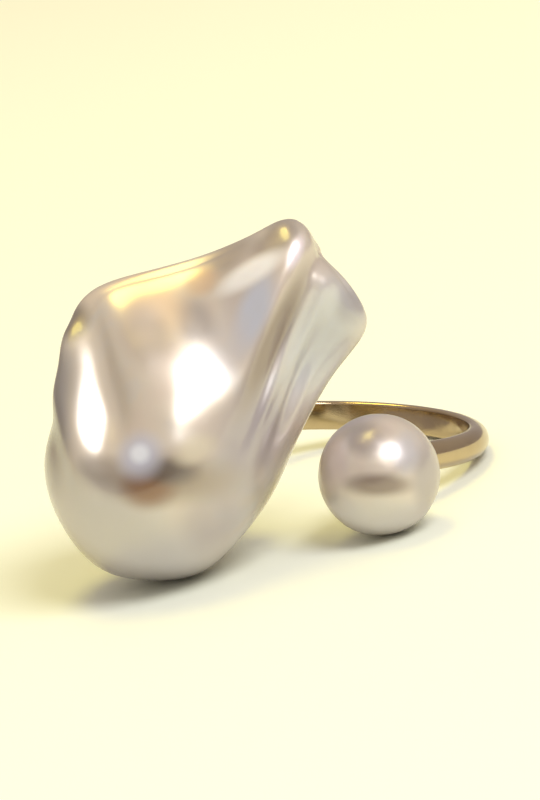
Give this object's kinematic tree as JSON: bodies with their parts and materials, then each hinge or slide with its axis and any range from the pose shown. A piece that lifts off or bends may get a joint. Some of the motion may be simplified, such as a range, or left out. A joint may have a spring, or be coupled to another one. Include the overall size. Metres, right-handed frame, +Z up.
{
  "type": "pearl ring",
  "caption": "Open finger ring, a large baroque pearl with a folded tail at one end of the band and a small round pearl at the other, lying on its side.",
  "frame": {"origin": "on the surface that the ring lies on, under the middle of its box", "axes": "+Z up; the ring lies on its side with the opening of the band and both pearls towards -Y, the large pearl towards -X with its tail up, the small pearl towards +X, and the back of the band towards +Y"},
  "size_m": [0.0248, 0.0328, 0.0206],
  "materials": {
    "gold": "polished yellow gold with fine wear scratches",
    "nacre": "glossy cream pink nacre with soft overtones",
    "nacre_round": "glossy cream pink nacre"
  },
  "bodies": {
    "root": {"shank": "gold", "large_pearl": "nacre", "small_pearl": "nacre_round"}
  },
  "joints": []
}
